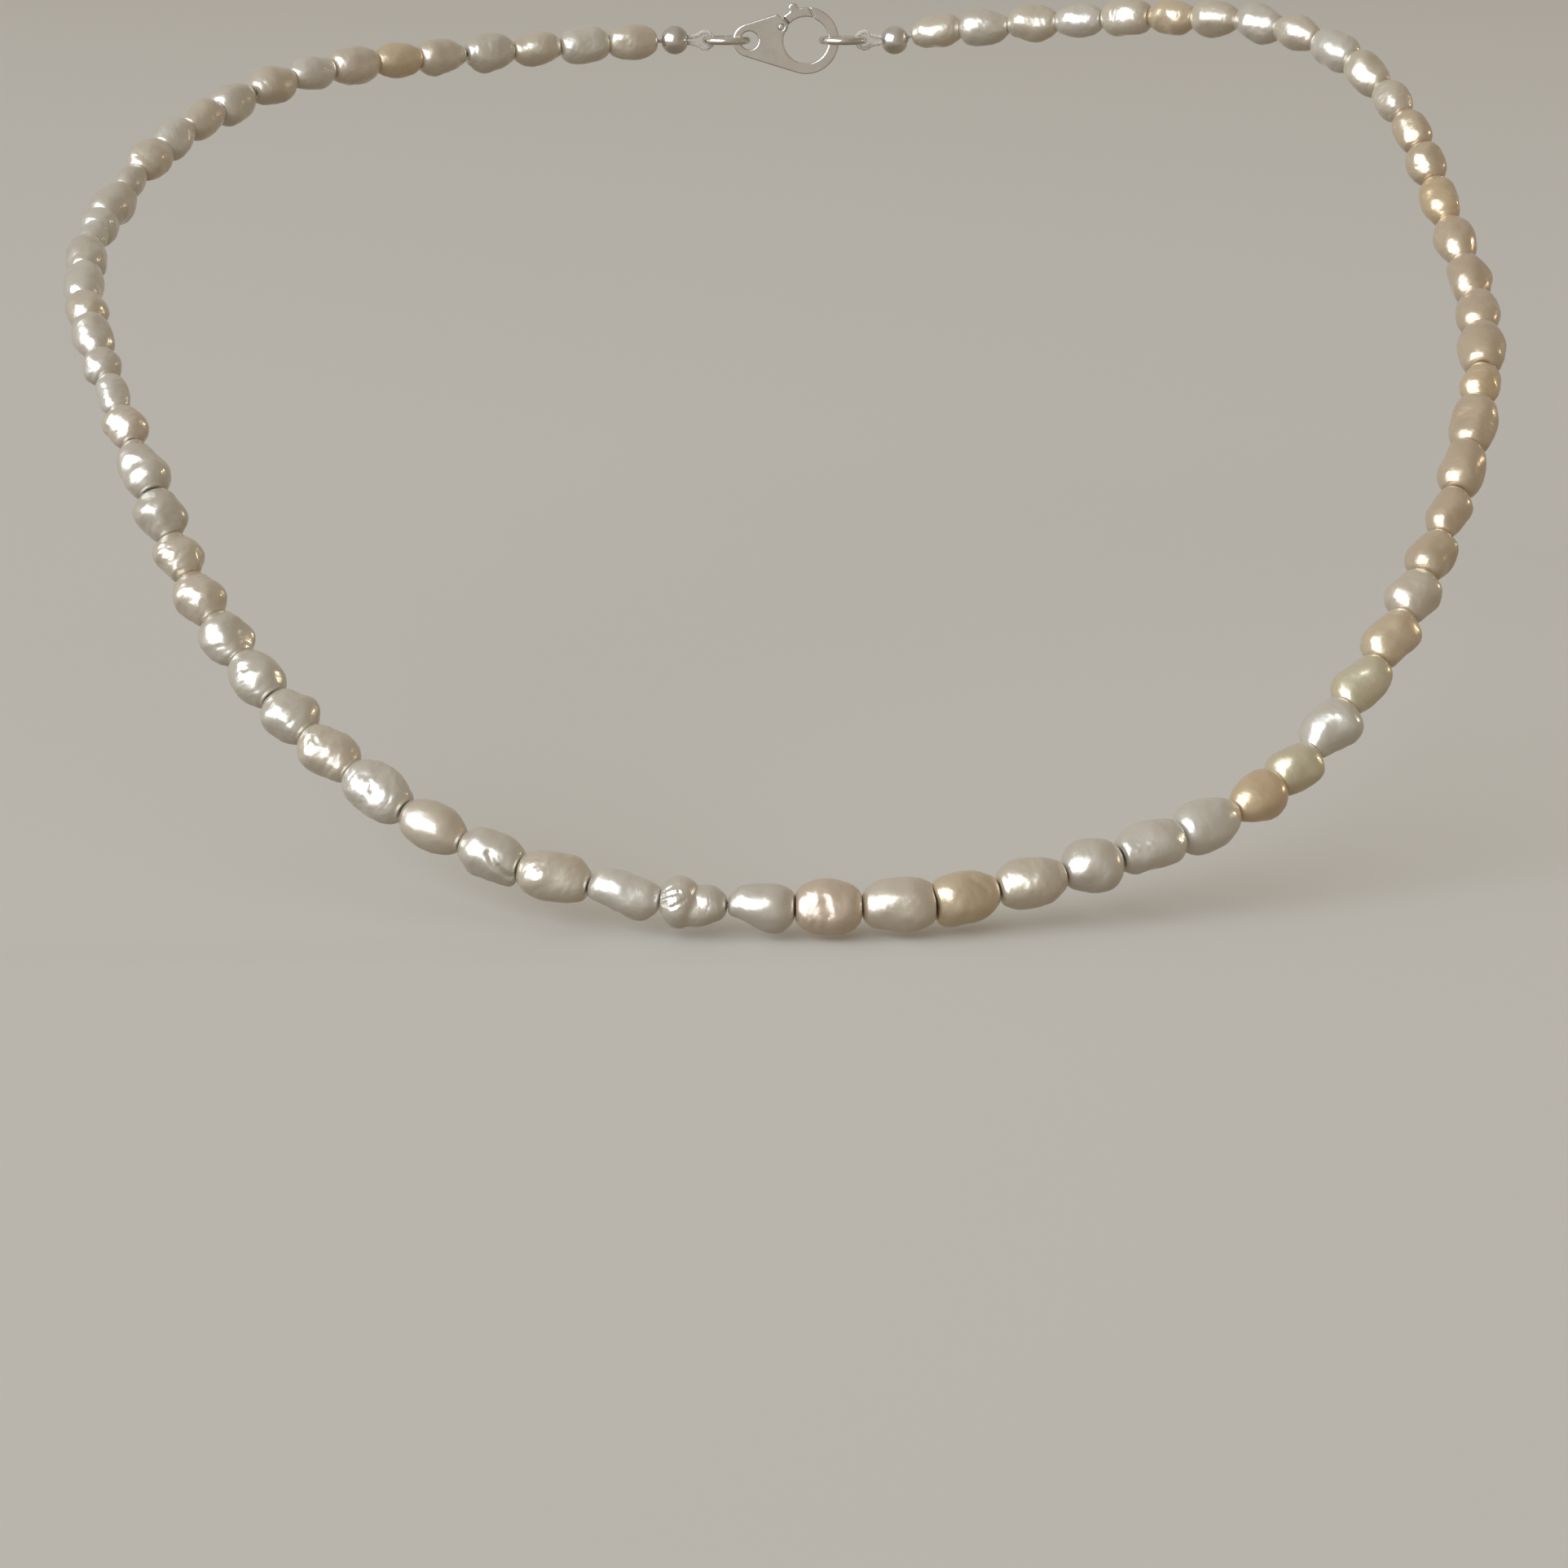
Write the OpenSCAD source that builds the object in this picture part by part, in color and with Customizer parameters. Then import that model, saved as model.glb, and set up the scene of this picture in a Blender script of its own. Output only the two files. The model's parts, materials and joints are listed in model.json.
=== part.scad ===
// Single strand necklace of drilled rice pearls, closed behind the neck by a lobster clasp.
// Millimetres. X runs to the viewer's right, Y away from the viewer, Z up.
// The origin lies on the neck's axis, level with the lowest pearl's hole.

/* [Loop] */
// Half width of the loop from side to side
loop_half_w = 64; // [62:0.5:66]
// Reach of the loop in front of the neck's axis
loop_front = 61; // [59:0.5:63]
// Reach of the loop behind the neck's axis
loop_back = 55; // [53:0.5:57]

/* [Pearls] */
// Clear gap left between two pearls on the thread
pearl_gap = 0.25; // [0.2:0.05:0.35]
// Diameter of the drilled hole
hole_d = 0.7; // [0.7:0.05:0.9]
// Width of all pearls against the stringing chart
fullness = 1; // [0.9:0.02:1.04]
// Share of a pearl's oval that is left between its flat drilled ends
end_cut = 0.9; // [0.86:0.01:0.95]
// Length of the pearls behind the neck
back_pearl_l = 5.2; // [4.6:0.1:5.8]
// Width of the pearls behind the neck
back_pearl_w = 3.8; // [3.4:0.1:4.2]

/* [Thread] */
// Diameter of the beading thread
thread_d = 0.52; // [0.4:0.02:0.52]

/* [Clasp] */
// Thickness of the clasp body
clasp_t = 1.6; // [1.4:0.1:1.6]
// Distance from the clasp's eye to the middle of its hook
clasp_reach = 6; // [5.8:0.1:6.4]
// Width of the hook's inside
hook_inside_d = 4.8; // [4.6:0.1:5]
// Width of the hook's metal
hook_wall = 1.1; // [0.9:0.1:1.2]
// Wire diameter of the jump rings
ring_wire_d = 0.8; // [0.7:0.05:0.85]
// Jump ring diameter at the middle of its wire
ring_d = 4.4; // [4.4:0.1:4.8]
// Diameter of the lever's pin
pin_d = 0.6; // [0.5:0.05:0.6]

/* [Hidden] */
$fn = 48;
steel_gray = [0.78, 0.79, 0.8];
thread_white = [0.92, 0.9, 0.85];

// Pearl forms: bluntness of the ends, taper along the strand, length share of a second lobe, lean to the
// hole, size of corner
rice = [2.1, 0, 0, 4, 0];
slim = [2.1, 0.08, 0, 6, 0];
barrel = [2.4, 0, 0, 2, 0];
ball = [2, 0, 0, 3, 0];
drop = [2.1, 0.24, 0, 4, 0];
pear = [2.1, -0.24, 0, 4, 0];
twin = [2.1, 0, 0.5, 0, 0];
corner = [2.2, 0, 0, 3, 0.27];
// Second lobe of a twin pearl: its width and its shift to one side, as shares of the pearl's width
lobe_w = 0.75;
lobe_shift = 0.08;
// Stretch over which the two lobes grow into each other, as a share of the pearl's length
lobe_joint = 0.18;

// Stringing chart of the pearls in sight, left to right: pitch on the thread, width, form, turn of its
// corner or lobe
chart = [
    [4.8, 3.8, rice], [5.0, 3.9, rice], [4.0, 2.9, barrel], [6.2, 3.9, rice], [6.6, 3.7, twin],
    [5.6, 3.7, rice], [6.8, 3.6, rice], [4.6, 3.7, ball], [4.8, 3.6, pear], [3.4, 3.3, ball],
    [4.0, 2.8, barrel], [3.8, 3.6, ball], [5.4, 4.0, drop], [4.5, 4.1, barrel], [4.1, 4.0, ball],
    [4.6, 4.1, ball], [4.6, 4.2, ball], [4.8, 4.4, barrel], [4.6, 4.2, rice], [5.3, 4.2, rice],
    [5.8, 4.4, barrel], [5.7, 4.1, rice], [5.3, 4.0, corner, 75], [5.9, 4.2, barrel], [5.9, 3.5, slim],
    [5.4, 4.3, twin, 90], [5.3, 3.8, drop], [5.3, 4.4, barrel], [5.8, 4.4, barrel], [5.4, 4.3, corner, 80],
    [5.6, 4.2, rice], [5.1, 4.6, ball], [5.6, 4.2, barrel], [5.9, 4.3, rice], [4.9, 3.8, rice],
    [4.7, 4.0, ball], [5.3, 4.2, drop], [5.6, 4.0, rice], [5.4, 4.2, rice], [4.7, 4.1, rice],
    [4.8, 3.9, pear], [4.9, 3.5, slim], [5.4, 4.1, barrel], [6.0, 4.3, rice], [4.7, 3.7, ball],
    [6.6, 4.4, barrel], [6.6, 4.1, rice], [5.7, 3.9, corner, 0], [5.7, 3.8, rice], [5.1, 3.8, rice],
    [4.2, 3.7, ball], [4.4, 3.5, corner, 0], [4.4, 3.6, rice]
];
// The lowest point of the strand lies this far past the end of this pearl
front_pearls = 26;
front_offset = 4.5;
// Pearls of the chart at each end that share a node with those behind the neck
chart_back = 3;

// Height of the strand every 10 degrees, from the nape over the left side, the front and the right side
height_step = 10;
heights = [
    61, 61, 60.5, 60, 59.5, 58.5, 56, 53, 49, 46, 43, 39, 31.5, 20.5, 12.5, 6.5, 2.5, 0.5, 0,
    0, 1.5, 3.5, 6.5, 13.5, 21.5, 30, 36.5, 40.5, 46.5, 55.5, 61, 63.5, 64, 63.5, 62.5, 61.5, 61
];

function unit(v) = v / norm(v);
function sum_to(list, n) = n <= 0 ? 0 : list[n - 1] + sum_to(list, n - 1);

// Smooth curve through four heights
function through(a, b, c, d, t) =
    b + t / 2 * (c - a + t * (2 * a - 5 * b + 4 * c - d + t * (3 * (b - c) + d - a)));
function height_near(i) = heights[(i + 36) % 36];
function height_at(angle) =
    let (u = (angle + 180) / height_step, i = floor(u))
    through(height_near(i - 1), height_near(i), height_near(i + 1), height_near(i + 2), u - i);
function route(angle) =
    [loop_half_w * sin(angle), -(cos(angle) > 0 ? loop_front : loop_back) * cos(angle), height_at(angle)];

// Distance along the strand, measured from the front, against the angle round the neck
route_step = 2;
route_n = 360 / route_step;
route_points = [for (i = [0:route_n]) route(i * route_step - 180)];
route_run = [
    for (i = 0, s = 0; i <= route_n;
         s = s + norm(route_points[min(i + 1, route_n)] - route_points[i]), i = i + 1) s
];
route_front = route_run[route_n / 2];
angle_table = [for (i = [0:route_n]) [route_run[i] - route_front, i * route_step - 180]];
strand_start = -route_front;
strand_end = route_run[route_n] - route_front;
function strand_at(s) = route(lookup(s, angle_table));

// Clasp, rings and thread ends, measured along the strand from the nape
play = 0.3;
ring_r = ring_d / 2;
wire_r = ring_wire_d / 2;
thread_r = thread_d / 2;
hook_in_r = hook_inside_d / 2;
hook_out_r = hook_in_r + hook_wall;
eye_hole_r = 0.95;
eye_r = 1.75;
ring_to_eye = ring_r + eye_hole_r - wire_r - play;
ring_to_hook = ring_r - wire_r - play + hook_in_r;
ring_span = ring_to_eye + clasp_reach + ring_to_hook;
ring_x = ring_span / 2;
eye_x = ring_to_eye - ring_x;
loop_r = 0.85;
loop_x = ring_x + ring_r + 0.08;
crimp_l = 1.7;
crimp_r = 0.7;
crimp_x = loop_x + 3.2;
crimp_channel = 0.3;
channel_clear = 0.01;
cover_r = 1.5;
cover_in_r = 1.15;
cover_hole_r = 0.65;
cover_slit = 0.15;
clasp_half = crimp_x + cover_r + 0.5;
clasp_end = strand_at(strand_end - clasp_half);
clasp_at = [0, clasp_end.y, heights[0]];

// Junctions between neighbouring pearls, along the strand from the front
chart_pitch = [for (row = chart) row[0]];
chart_start = -front_offset - sum_to(chart_pitch, front_pearls);
chart_end = chart_start + sum_to(chart_pitch, len(chart));
back_left_run = chart_start - strand_start - clasp_half;
back_right_run = strand_end - clasp_half - chart_end;
back_left_n = round(back_left_run / back_pearl_l);
back_right_n = round(back_right_run / back_pearl_l);
function back_pearl(i, pitch) =
    [pitch, back_pearl_w * (1 + 0.06 * sin(137 * i)), [rice, barrel, ball, rice, drop][i % 5]];
stringing = concat(
    [for (i = [0:back_left_n - 1]) back_pearl(i, back_left_run / back_left_n)],
    chart,
    [for (i = [0:back_right_n - 1]) back_pearl(i + 2, back_right_run / back_right_n)]
);
pearl_n = len(stringing);
pitches = [for (row = stringing) row[0]];
junctions = [
    for (i = 0, s = strand_start + clasp_half; i <= pearl_n;
         s = s + pitches[min(i, pearl_n - 1)], i = i + 1) s
];
ends = [for (s = junctions) strand_at(s)];
first_single = back_left_n + chart_back;
single_n = len(chart) - 2 * chart_back;

// Two figures, so that the pearls sort in stringing order
function pearl_name(i) = str("pearl_", i < 9 ? "0" : "", i + 1);
single_names = [for (i = [0:single_n - 1]) pearl_name(i)];

// Half outline of an oval along the hole, from one tip to the other
profile_n = 18;
function oval_radius(t, form, w) =
    w / 2 * pow(max(0, 1 - pow(abs(t), form[0])), 1 / form[0]) * (1 + form[1] * t);
function oval_profile(form, l, w) = [
    for (i = [0:profile_n]) let (t = -cos(i * 180 / profile_n))
        [i == 0 || i == profile_n ? 0 : oval_radius(t, form, w), t * l / 2]
];

module oval(form, l, w) {
    rotate_extrude() polygon(oval_profile(form, l, w));
}

// One oval, or two lobes grown together, before its ends are cut
module pearl_body(form, l, w) {
    second_l = form[2] * l;
    if (second_l > 0) {
        first_l = l - second_l + lobe_joint * l;
        translate([0, 0, (first_l - l) / 2]) oval(form, first_l, w);
        translate([lobe_shift * w, 0, (l - second_l) / 2]) oval(form, second_l, lobe_w * w);
    } else {
        oval(form, l, w);
    }
}

module pearl(form, l, w, turn) {
    knob_r = form[4] * w;
    difference() {
        intersection() {
            rotate([0, 0, turn]) union() {
                rotate([0, form[3], 0]) pearl_body(form, l / end_cut, w);
                if (knob_r > 0) translate([0.33 * w, 0, 0.1 * l]) sphere(knob_r);
            }
            cylinder(h = l, d = 2 * w, center = true);
        }
        cylinder(h = 2 * l, d = hole_d, center = true);
    }
}

// Places a pearl on the thread, its hole along the strand and its own x axis away from the neck
module strung_pearl(i) {
    from = ends[i];
    to = ends[i + 1];
    mid = (from + to) / 2;
    along = unit(to - from);
    away = [mid.x, mid.y, 0];
    out = unit(away - (away * along) * along);
    side = cross(along, out);
    row = stringing[i];
    multmatrix([
        [out.x, side.x, along.x, mid.x], [out.y, side.y, along.y, mid.y], [out.z, side.z, along.z, mid.z]
    ]) pearl(row[2], norm(to - from) - pearl_gap, fullness * row[1], len(row) > 3 ? row[3] : 137 * i);
}

// Warm cream in front, a little greyer on the left side
module pearl_color(i) {
    color([0.9, 0.87 - 0.02 * sin(97 * i), 0.8 - 0.04 * sin(61 * i)]) children();
}

module back_left_pearls() {
    for (i = [0:first_single - 1]) pearl_color(i) strung_pearl(i);
}

module back_right_pearls() {
    for (i = [first_single + single_n:pearl_n - 1]) pearl_color(i) strung_pearl(i);
}

module single_pearl(i) {
    pearl_color(i) strung_pearl(first_single + i);
}

// End loop of the thread in the plane of the clasp, from the strand to the tail
loop_points = 10;
loop_open = 40;
end_loop = concat(
    [[crimp_x + crimp_l / 2 + 0.1, -crimp_channel], [crimp_x - cover_r + 0.1, -crimp_channel]],
    [for (i = [0:loop_points]) let (a = loop_open - 360 + i * (360 - 2 * loop_open) / loop_points)
        [loop_x + loop_r * cos(-a), loop_r * sin(-a)] ],
    [[crimp_x - cover_r + 0.1, crimp_channel], [crimp_x + crimp_l / 2 - 0.3, crimp_channel]]
);
right_loop = [for (p = end_loop) clasp_at + [p.x, 0, p.y]];
left_loop = [for (i = [len(end_loop) - 1:-1:0]) clasp_at + [-end_loop[i].x, 0, end_loop[i].y]];
thread_path = concat(left_loop, ends, right_loop);

// Tube along a path, its rings carried along without twist
thread_sides = 8;
function path_dir(path, i) =
    unit(unit(path[min(i + 1, len(path) - 1)] - path[min(i, len(path) - 2)])
        + unit(path[max(i, 1)] - path[max(i - 1, 0)]));
function square_to(v, t) = unit(v - (v * t) * t);
function tube_sides(path) = [
    for (i = 0, v = square_to([0, 1, 0], path_dir(path, 0)); i < len(path);
         i = i + 1, v = i < len(path) ? square_to(v, path_dir(path, i)) : v) v
];
module tube(path, r) {
    n = len(path);
    sides = tube_sides(path);
    points = [
        for (i = [0:n - 1]) let (t = path_dir(path, i), u = sides[i], v = cross(t, u))
            for (k = [0:thread_sides - 1]) let (a = k * 360 / thread_sides)
                path[i] + r * (cos(a) * u + sin(a) * v)
    ];
    walls = [
        for (i = [0:n - 2]) for (k = [0:thread_sides - 1])
            let (a = i * thread_sides + k, b = i * thread_sides + (k + 1) % thread_sides)
                each [[a, b + thread_sides, b], [a, a + thread_sides, b + thread_sides]]
    ];
    caps = [
        for (k = [1:thread_sides - 2]) each [
            [0, k, k + 1],
            [(n - 1) * thread_sides, (n - 1) * thread_sides + k + 1, (n - 1) * thread_sides + k]
        ]
    ];
    polyhedron(points, concat(walls, caps));
}

module beading_thread() {
    color(thread_white) tube(thread_path, thread_r);
}

// Lays a piece whose length is along z at one thread end, along the strand
module at_crimp(side) {
    translate(clasp_at + [side * crimp_x, 0, 0]) rotate([0, 90, 0]) children();
}

module crimp(side) {
    color(steel_gray) at_crimp(side) difference() {
        cylinder(h = crimp_l, r = crimp_r, center = true);
        for (x = [-crimp_channel, crimp_channel]) translate([x, 0, 0])
            cylinder(h = 2 * crimp_l, r = thread_r + channel_clear, center = true);
    }
}

module crimp_cover(side) {
    color(steel_gray) at_crimp(side) difference() {
        sphere(cover_r);
        sphere(cover_in_r);
        cylinder(h = 4 * cover_r, r = cover_hole_r, center = true);
        translate([0, -cover_slit / 2, -2 * cover_r]) cube([2 * cover_r, cover_slit, 4 * cover_r]);
    }
}

module crimp_left() crimp(-1);
module crimp_right() crimp(1);
module crimp_cover_left() crimp_cover(-1);
module crimp_cover_right() crimp_cover(1);

// Flat rings of round wire, each with a closed cut
ring_cut = 3;
module jump_ring(side) {
    color(steel_gray) translate(clasp_at + [side * ring_x, 0, 0]) rotate([0, 0, 90 + ring_cut / 2])
        rotate_extrude(angle = 360 - ring_cut) translate([ring_r, 0]) circle(wire_r);
}
module jump_ring_left() jump_ring(-1);
module jump_ring_right() jump_ring(1);

// Clasp outline in its own plane: x from the eye to the hook, y up, turned into XZ and centred on Y
module in_clasp_plane(t) {
    translate(clasp_at + [eye_x, t / 2, 0]) rotate([90, 0, 0]) linear_extrude(t) children();
}
hook_at = [clasp_reach, 0];
hook_mid_r = (hook_in_r + hook_out_r) / 2;
pin_angle = 152;
ear_angle = 138;
pin_at = hook_at + hook_mid_r * [cos(pin_angle), sin(pin_angle)];
lever_reach = 3.5;
lever_gap = 0.1;
hub_r = 0.7;
slot_r = 0.9;
slot_t = 1;
arm_t = 0.8;
lever_t = clasp_t - 0.1;
pin_clear = 0.04;
seat_clear = 0.01;

module sector(from, to, r) {
    polygon(concat(
        [hook_at],
        [for (i = [0:4]) let (a = from + i * (to - from) / 4) hook_at + r * [cos(a), sin(a)]]
    ));
}

module hook_ring(in_r, out_r) {
    translate(hook_at) difference() {
        circle(out_r);
        circle(in_r);
    }
}

module teardrop() {
    lean = asin((hook_out_r - eye_r) / clasp_reach);
    edge = [-sin(lean), cos(lean)];
    low = [edge.x, -edge.y];
    circle(eye_r);
    translate(hook_at) circle(hook_out_r);
    polygon([eye_r * edge, hook_at + hook_out_r * edge, hook_at + hook_out_r * low, eye_r * low]);
}

module mouth() {
    intersection() {
        sector(45, ear_angle, 2 * hook_out_r);
        translate(pin_at) circle(lever_reach + lever_gap);
    }
}

module pin_hole(r) {
    translate(clasp_at + [eye_x + pin_at.x, 0, pin_at.y]) rotate([90, 0, 0])
        cylinder(h = 2 * clasp_t, r = r, center = true);
}

module clasp_body() {
    color(steel_gray) difference() {
        in_clasp_plane(clasp_t) difference() {
            teardrop();
            circle(eye_hole_r);
            translate(hook_at) circle(hook_in_r);
            mouth();
        }
        in_clasp_plane(slot_t) union() {
            translate(pin_at) circle(slot_r);
            sector(ear_angle - 2, pin_angle, 2 * hook_out_r);
        }
        pin_hole(pin_d / 2 + seat_clear);
    }
}

lever_end = 134;
thumb_angle = 112;
thumb_r = 0.5;
thumb_at = hook_at + (hook_out_r + 0.15) * [cos(thumb_angle), sin(thumb_angle)];
module clasp_lever() {
    color(steel_gray) difference() {
        union() {
            in_clasp_plane(lever_t) union() {
                intersection() {
                    hook_ring(hook_in_r + 0.05, hook_out_r - 0.05);
                    sector(45, lever_end, 2 * hook_out_r);
                    translate(pin_at) circle(lever_reach);
                }
                translate(thumb_at) circle(thumb_r);
            }
            in_clasp_plane(arm_t) union() {
                intersection() {
                    hook_ring(hook_in_r + 0.05, hook_out_r - 0.05);
                    sector(lever_end - 6, pin_angle, 2 * hook_out_r);
                }
                translate(pin_at) circle(hub_r);
            }
        }
        pin_hole(pin_d / 2 + pin_clear);
    }
}

module lever_pin() {
    color(steel_gray) translate(clasp_at + [eye_x + pin_at.x, 0, pin_at.y]) rotate([90, 0, 0])
        cylinder(h = clasp_t, d = pin_d, center = true);
}

// Bent leaf between the lever's hub and the wall of its slot
spring_from = 175;
spring_sweep = 120;
module lever_spring() {
    color(steel_gray) translate(clasp_at + [eye_x + pin_at.x, 0, pin_at.y]) rotate([90, 0, 0])
        rotate([0, 0, spring_from]) rotate_extrude(angle = spring_sweep)
            translate([hub_r + 0.05, -arm_t / 2]) square([0.1, arm_t]);
}

beading_thread();
crimp_left();
crimp_right();
crimp_cover_left();
crimp_cover_right();
jump_ring_left();
jump_ring_right();
clasp_body();
clasp_lever();
lever_pin();
lever_spring();
back_left_pearls();
back_right_pearls();
for (i = [0:single_n - 1])
    single_pearl(i);
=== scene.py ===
import json
import math
import random

import bpy
from mathutils import Euler, Matrix, Vector


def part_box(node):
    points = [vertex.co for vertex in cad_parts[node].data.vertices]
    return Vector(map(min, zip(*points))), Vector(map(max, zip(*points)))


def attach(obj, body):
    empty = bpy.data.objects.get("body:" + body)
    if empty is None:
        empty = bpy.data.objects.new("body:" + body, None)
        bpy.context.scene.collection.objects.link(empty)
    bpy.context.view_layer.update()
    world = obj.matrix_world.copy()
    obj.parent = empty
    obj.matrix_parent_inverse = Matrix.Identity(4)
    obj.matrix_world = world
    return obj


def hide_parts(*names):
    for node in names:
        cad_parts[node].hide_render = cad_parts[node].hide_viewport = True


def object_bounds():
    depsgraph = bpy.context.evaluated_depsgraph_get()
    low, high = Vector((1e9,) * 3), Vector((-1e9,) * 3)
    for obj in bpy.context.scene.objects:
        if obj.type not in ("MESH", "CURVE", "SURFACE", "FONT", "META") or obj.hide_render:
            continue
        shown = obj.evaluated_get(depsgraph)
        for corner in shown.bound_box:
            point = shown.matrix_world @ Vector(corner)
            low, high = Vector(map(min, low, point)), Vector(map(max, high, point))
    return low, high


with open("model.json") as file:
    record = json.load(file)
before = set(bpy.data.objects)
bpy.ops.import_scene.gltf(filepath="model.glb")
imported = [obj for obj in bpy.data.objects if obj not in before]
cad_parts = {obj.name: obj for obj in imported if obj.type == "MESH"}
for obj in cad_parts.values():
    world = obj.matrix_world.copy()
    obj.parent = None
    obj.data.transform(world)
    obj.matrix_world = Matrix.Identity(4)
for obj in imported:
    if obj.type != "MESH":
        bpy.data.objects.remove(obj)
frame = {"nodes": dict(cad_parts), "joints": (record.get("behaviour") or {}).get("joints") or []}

cadLow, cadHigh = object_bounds()
mm = 0.001


def clearSelection():
    if bpy.context.mode != "OBJECT":
        bpy.ops.object.mode_set(mode="OBJECT")
    bpy.ops.object.select_all(action="DESELECT")


def makeActive(obj):
    clearSelection()
    obj.select_set(True)
    bpy.context.view_layer.objects.active = obj


def pickVerts(obj, test):  # in object mode, and nothing else stays picked
    mesh = obj.data
    mesh.polygons.foreach_set("select", [False] * len(mesh.polygons))
    mesh.edges.foreach_set("select", [False] * len(mesh.edges))
    mesh.vertices.foreach_set("select", [test(v.co) for v in mesh.vertices])


def dropFaces(obj, test):  # deletes the faces whose middle passes the test
    mesh = obj.data
    mesh.vertices.foreach_set("select", [False] * len(mesh.vertices))
    mesh.edges.foreach_set("select", [False] * len(mesh.edges))
    mesh.polygons.foreach_set("select", [test(face.center) for face in mesh.polygons])
    bpy.ops.object.mode_set(mode="EDIT")
    bpy.ops.mesh.select_mode(type="FACE")
    bpy.ops.mesh.delete(type="FACE")
    bpy.ops.object.mode_set(mode="OBJECT")


def mergeClose(obj, distance):  # distance in mm
    makeActive(obj)
    bpy.ops.object.mode_set(mode="EDIT")
    bpy.ops.mesh.select_all(action="SELECT")
    bpy.ops.mesh.remove_doubles(threshold=distance * mm)
    bpy.ops.object.mode_set(mode="OBJECT")


def applyModifiers(obj):
    makeActive(obj)
    for modifier in list(obj.modifiers):
        bpy.ops.object.modifier_apply(modifier=modifier.name)


def growSkin(obj, grain, passes):  # one closed skin over all of it, rounded by smoothing
    skin = obj.modifiers.new("skin", "REMESH")
    skin.mode = "VOXEL"
    skin.voxel_size = grain * mm
    soft = obj.modifiers.new("soft", "SMOOTH")
    soft.factor = 0.5
    soft.iterations = passes
    applyModifiers(obj)
    bpy.ops.object.shade_smooth()


def applyPlace(obj, place):  # the object stays at the origin, its place goes into the mesh
    makeActive(obj)
    obj.matrix_world = place
    bpy.ops.object.transform_apply(location=True, rotation=True, scale=True)


def copyOf(obj, name):
    twin = obj.copy()
    twin.data = obj.data.copy()
    twin.name = twin.data.name = name
    bpy.context.scene.collection.objects.link(twin)
    return twin


# nacre
nacreSettings = {
    "mottleScale": 330,  # per metre, patches of about 3 mm
    "blushScale": 150,
    "grainScale": 2600,
    "pitScale": 1300,
    "deepFrom": (0.38, 0.72), "deepMost": 0.75,  # where the mottle shows the depth tone, and its share
    "blushFrom": (0.45, 0.75), "blushMost": 0.8,
    "glossFrom": (0.3, 0.7), "gloss": (0.24, 0.37),
    "pitReach": 0.35, "pitDepth": -0.6,
    "bumpStrength": 0.6, "bumpDistance": 0.12,  # mm
}
nacreShader = {
    "Metallic": 0.67,
    "Specular IOR Level": 0.6,
    "IOR": 1.6,
    "Subsurface Weight": 0.15,
    "Subsurface Radius": (1.0, 0.8, 0.6),
    "Subsurface Scale": 0.0008,
    "Coat Weight": 0.8,
    "Coat Roughness": 0.16,
    "Coat IOR": 1.8,
    "Sheen Weight": 0.12,
    "Sheen Roughness": 0.5,
}


def newGroup(name, inputs, outputs):
    group = bpy.data.node_groups.new(name, "ShaderNodeTree")
    for label, kind, value in inputs:
        socket = group.interface.new_socket(label, in_out="INPUT", socket_type=kind)
        socket.default_value = value
    for label, kind in outputs:
        group.interface.new_socket(label, in_out="OUTPUT", socket_type=kind)
    return group, group.nodes.new("NodeGroupInput"), group.nodes.new("NodeGroupOutput")


def addNode(tree, kind, **values):
    node = tree.nodes.new(kind)
    for key, value in values.items():
        if hasattr(node, key):
            setattr(node, key, value)
        else:
            node.inputs[key.replace("_", " ")].default_value = value
    return node


def addRange(tree, source, span, target, **values):
    node = addNode(tree, "ShaderNodeMapRange", **values)
    for label, value in zip(("From Min", "From Max", "To Min", "To Max"), (*span, *target)):
        node.inputs[label].default_value = value
    tree.links.new(source, node.inputs["Value"])
    return node.outputs["Result"]


def addBlend(tree, share, first, second):  # two colours, each a fixed one or a socket
    node = addNode(tree, "ShaderNodeMix", data_type="RGBA")
    tree.links.new(share, node.inputs["Factor"])
    for slot, color in ((6, first), (7, second)):
        if isinstance(color, tuple):
            node.inputs[slot].default_value = (*color, 1)
        else:
            tree.links.new(color, node.inputs[slot])
    return node.outputs[2]


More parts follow.
